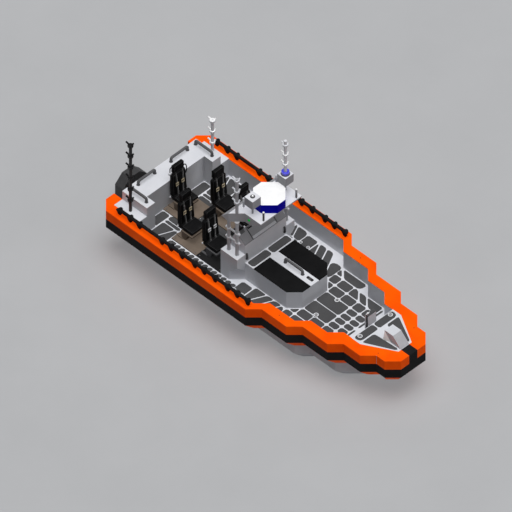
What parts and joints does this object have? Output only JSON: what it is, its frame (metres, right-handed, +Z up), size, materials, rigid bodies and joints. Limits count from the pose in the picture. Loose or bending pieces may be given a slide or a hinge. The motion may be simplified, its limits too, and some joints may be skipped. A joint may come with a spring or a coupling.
{
  "type": "inshore rescue boat",
  "caption": "Open rescue boat with a stepped orange collar, raised roof on ladder frames, shock seats, forward trunk with lids, whip aerials and a waterjet.",
  "frame": {"origin": "on the centreline at the waterline, below the collar's aft end", "axes": "+X towards the bow, +Y to port, +Z up"},
  "size_m": [8.7325, 3.25, 4.6875],
  "materials": {
    "hull_paint": "satin marine paint",
    "engine_paint": "painted casting",
    "deck_paint": "satin marine paint",
    "collar_foam": "coated foam, matte",
    "black_rubber": "matte rubber",
    "lid_black": "matte moulded panel",
    "tinted_screen": "tinted sheet",
    "white_tube": "satin paint on tube",
    "radar_shell": "moulded shell, blue sides and white top",
    "beacon_lens": "blue lens",
    "aerial_black": "black sleeve",
    "aerial_pale": "pale sleeve",
    "rail_tube": "powder-coated tube",
    "base_brown": "matte base",
    "base_black": "matte base",
    "seat_vinyl": "marine vinyl over foam",
    "wheel_grip": "moulded grip",
    "jet_metal": "dark coated casting",
    "jet_dark": "dark coated casting"
  },
  "bodies": {
    "boat": {"hull": "hull_paint", "engine": "engine_paint", "cockpit_moulding": "deck_paint", "collar_port": "collar_foam", "collar_starboard": "collar_foam", "rubbing_band": "black_rubber", "bow_deck": "deck_paint", "bow_post": "deck_paint", "stern_box": "deck_paint", "trunk": "deck_paint", "console": "deck_paint", "screen": "tinted_screen", "roof_frame_port": "white_tube", "roof_frame_starboard": "white_tube", "roof": "deck_paint", "radar": "radar_shell", "lamp_mast_port": "deck_paint", "lamp_mast_starboard": "deck_paint", "beacon": "beacon_lens", "aerial_starboard": "aerial_black", "aerial_port": "aerial_pale", "aerial_roof": "aerial_pale", "aerial_beacon": "aerial_pale", "stern_rail_port": "rail_tube", "stern_rail_starboard": "rail_tube", "arm_rail_port": "rail_tube", "arm_rail_starboard": "rail_tube", "trunk_rail": "rail_tube", "side_rail_port": "black_rubber", "side_rail_starboard": "black_rubber", "seat_base_aft": "base_brown", "seat_base_mid_port": "base_brown", "seat_base_mid_starboard": "base_brown", "seat_base_front_port": "base_black", "seat_base_front_starboard": "base_black", "seat_aft": "seat_vinyl", "seat_mid_port": "seat_vinyl", "seat_mid_starboard": "seat_vinyl", "seat_front_port": "seat_vinyl", "seat_front_starboard": "seat_vinyl", "jet_duct": "jet_metal"},
    "lid_port": {"lid_port": "lid_black"},
    "lid_starboard": {"lid_starboard": "lid_black"},
    "helm_wheel": {"helm_wheel": "wheel_grip"},
    "jet_nozzle": {"jet_nozzle": "jet_dark"},
    "jet_bucket": {"jet_bucket": "jet_metal"}
  },
  "joints": [
    {"name": "lid_port_hinge", "type": "hinge", "parent": "boat", "child": "lid_port", "pos_m": [4.375, 0.131, 1.25], "axis": [1, 0, 0], "range_deg": [0, 80]},
    {"name": "lid_starboard_hinge", "type": "hinge", "parent": "boat", "child": "lid_starboard", "pos_m": [4.375, -0.131, 1.25], "axis": [-1, 0, 0], "range_deg": [0, 80]},
    {"name": "helm_wheel_turn", "type": "hinge", "parent": "boat", "child": "helm_wheel", "pos_m": [3.02712, -0.5, 1.79639], "axis": [-0.9264, 0, 0.3766], "range_deg": [-450, 450]},
    {"name": "jet_steering", "type": "hinge", "parent": "boat", "child": "jet_nozzle", "pos_m": [-0.225, 0, 0.25], "axis": [0, 0, 1], "range_deg": [-27, 27]},
    {"name": "jet_reversing", "type": "hinge", "parent": "boat", "child": "jet_bucket", "pos_m": [-0.175, 0, 0.25], "axis": [0, -1, 0], "range_deg": [0, 50]}
  ]
}
